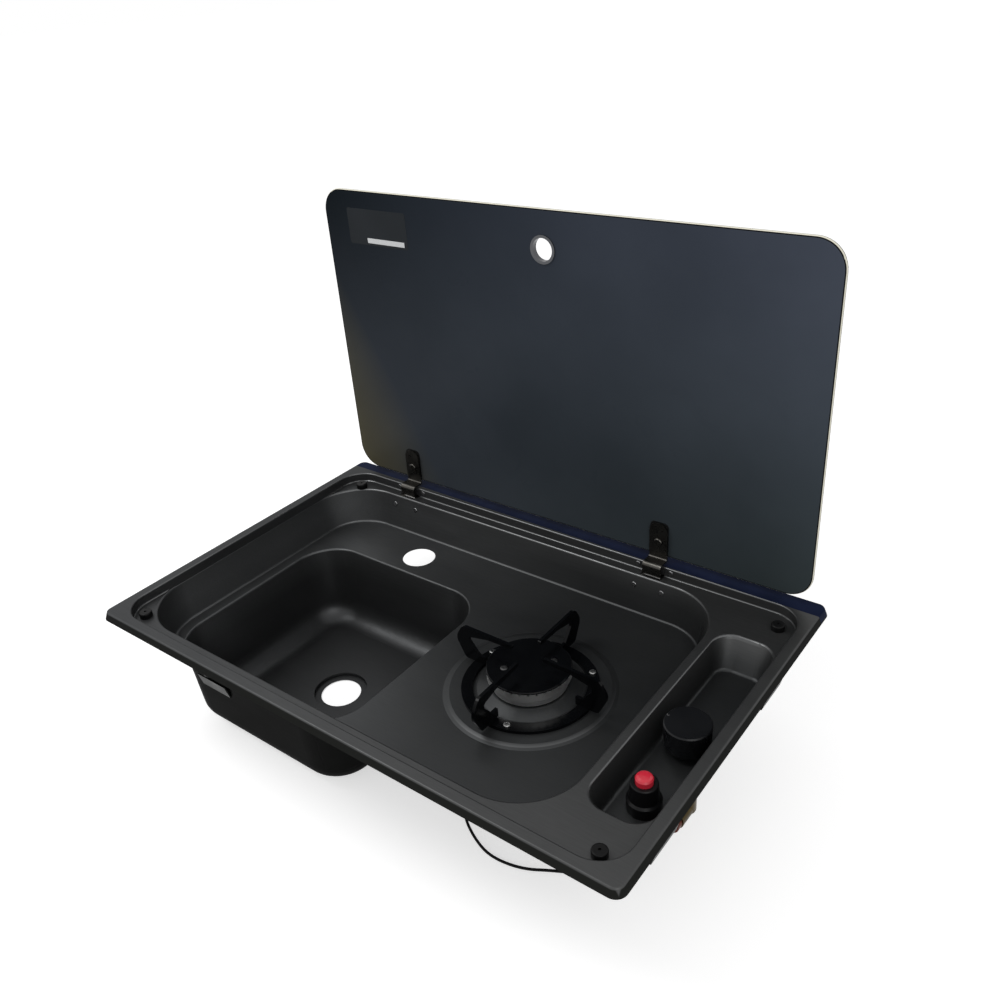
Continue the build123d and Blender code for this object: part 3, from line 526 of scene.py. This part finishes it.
# The small raised mark on the knob's top, at the off position: part of a ring, open to the back.
MARK_PLACE = (0.2373, -0.0105)
MARK_RADIUS = 0.0011
MARK_TUBE = 0.00022


def add_knob_mark():
    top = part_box("burner_knob")[1][2]
    turns = [radians(150 + 20 * step) for step in range(11)]
    points = [(MARK_PLACE[0] + MARK_RADIUS * cos(turn), MARK_PLACE[1] + MARK_RADIUS * sin(turn), top) for turn in turns]
    mark = tube("knob_mark", "POLY", points, MARK_TUBE, 3, moulded("mark_grey", (0.1, 0.1, 0.1)).material)
    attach(mark, "knob")


add_knob_mark()


# The two small screw heads on the burner cap, on a diagonal between the support's arms. Each is turned from rings that
# run from its foot, sunk in the cap, over its dome and into the small recess in its middle: the ring's share of the
# head's radius and of its rise.
CAP_SCREW_REACH = 0.023
CAP_SCREW_RADIUS = 0.0034
CAP_SCREW_RISE = 0.0008
CAP_SCREW_RINGS = ((1.0, -0.3), (1.0, 0.2), (0.93, 0.62), (0.75, 0.9), (0.5, 1.0), (0.34, 0.95), (0.28, 0.35))
CAP_SCREW_STEPS = 24


def add_cap_screws():
    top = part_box("burner_cap")[1][2]
    steps = CAP_SCREW_STEPS
    turns = [radians(360 * step / steps) for step in range(steps)]
    points, faces = [], []
    for side in (-1, 1):
        x, y = (BURNER_DISH[axis] + side * CAP_SCREW_REACH * cos(radians(45)) for axis in (0, 1))
        first = len(points)
        for width, rise in CAP_SCREW_RINGS:
            reach = width * CAP_SCREW_RADIUS
            points += [(x + reach * cos(turn), y + reach * sin(turn), top + rise * CAP_SCREW_RISE) for turn in turns]
        last = len(points) - steps
        for low in range(first, last, steps):
            for step in range(steps):
                after = (step + 1) % steps
                faces.append((low + step, low + after, low + steps + after, low + steps + step))
        faces.append(tuple(first + step for step in reversed(range(steps))))
        faces.append(tuple(last + step for step in range(steps)))
    paint = metal("cap_screw_steel", (0.1, 0.1, 0.1), (0.25, 0.4))
    piece("cap_screws", "burner_cap", paint, points, faces)


add_cap_screws()


# Surroundings: a pale floor just under the bowl, a world that is white to the camera and softer as a lamp, and two
# soft lamps.
FLOOR_Z = -0.1455
FLOOR_SIZE = 40.0
FLOOR_COLOUR = (0.8, 0.8, 0.8, 1.0)
FLOOR_GLOW = 0.55
WORLD_COLOUR = (1.0, 1.0, 1.0, 1.0)
BACKGROUND = 1.0
AMBIENT = 0.6
LAMPS = (
    ("key", (-1.0, -0.6, 1.7), (0.0, 0.0, 0.0), 0.9, 12.0),
    ("fill", (1.3, -1.0, 1.2), (0.0, 0.0, 0.05), 1.2, 6.0),
)


def seen_directly(tree):
    """1 for camera, glossy and transmission rays."""
    path = tree.nodes.new("ShaderNodeLightPath")
    seen = path.outputs["Is Camera Ray"]
    for ray in ("Is Glossy Ray", "Is Transmission Ray"):
        either = tree.nodes.new("ShaderNodeMath")
        either.operation = "MAXIMUM"
        tree.links.new(seen, either.inputs[0])
        tree.links.new(path.outputs[ray], either.inputs[1])
        seen = either.outputs[0]
    return seen


def add_world():
    world = bpy.data.worlds.new("studio")
    world.use_nodes = True
    tree = world.node_tree
    background = tree.nodes["Background"]
    background.inputs["Color"].default_value = WORLD_COLOUR
    level = tree.nodes.new("ShaderNodeMapRange")
    level.inputs["To Min"].default_value = AMBIENT
    level.inputs["To Max"].default_value = BACKGROUND
    tree.links.new(seen_directly(tree), level.inputs["Value"])
    tree.links.new(level.outputs["Result"], background.inputs["Strength"])
    bpy.context.scene.world = world


def add_floor():
    material = bpy.data.materials.new("floor_white")
    material.use_nodes = True
    tree = material.node_tree
    tree.nodes.remove(tree.nodes["Principled BSDF"])
    diffuse = tree.nodes.new("ShaderNodeBsdfDiffuse")
    diffuse.inputs["Color"].default_value = FLOOR_COLOUR
    glow = tree.nodes.new("ShaderNodeEmission")
    lift = tree.nodes.new("ShaderNodeMath")
    lift.operation = "MULTIPLY"
    lift.inputs[1].default_value = FLOOR_GLOW
    tree.links.new(seen_directly(tree), lift.inputs[0])
    tree.links.new(lift.outputs[0], glow.inputs["Strength"])
    both = tree.nodes.new("ShaderNodeAddShader")
    tree.links.new(diffuse.outputs[0], both.inputs[0])
    tree.links.new(glow.outputs[0], both.inputs[1])
    tree.links.new(both.outputs[0], tree.nodes["Material Output"].inputs["Surface"])
    half = FLOOR_SIZE / 2
    mesh = bpy.data.meshes.new("floor")
    corners = [(x * half, y * half, FLOOR_Z) for x, y in ((-1, -1), (1, -1), (1, 1), (-1, 1))]
    mesh.from_pydata(corners, [], [(0, 1, 2, 3)])
    mesh.materials.append(material)
    floor = bpy.data.objects.new("floor", mesh)
    collection.objects.link(floor)


def add_lamp(name, place, aim, size, power):
    data = bpy.data.lights.new(name, "AREA")
    data.shape = "DISK"
    data.size = size
    data.energy = power
    lamp = bpy.data.objects.new(name, data)
    collection.objects.link(lamp)
    lamp.location = place
    lamp.rotation_mode = "QUATERNION"
    lamp.rotation_quaternion = (Vector(aim) - Vector(place)).to_track_quat("-Z", "Y")


add_world()
add_floor()
for settings in LAMPS:
    add_lamp(*settings)
bpy.context.scene.view_settings.view_transform = "Standard"
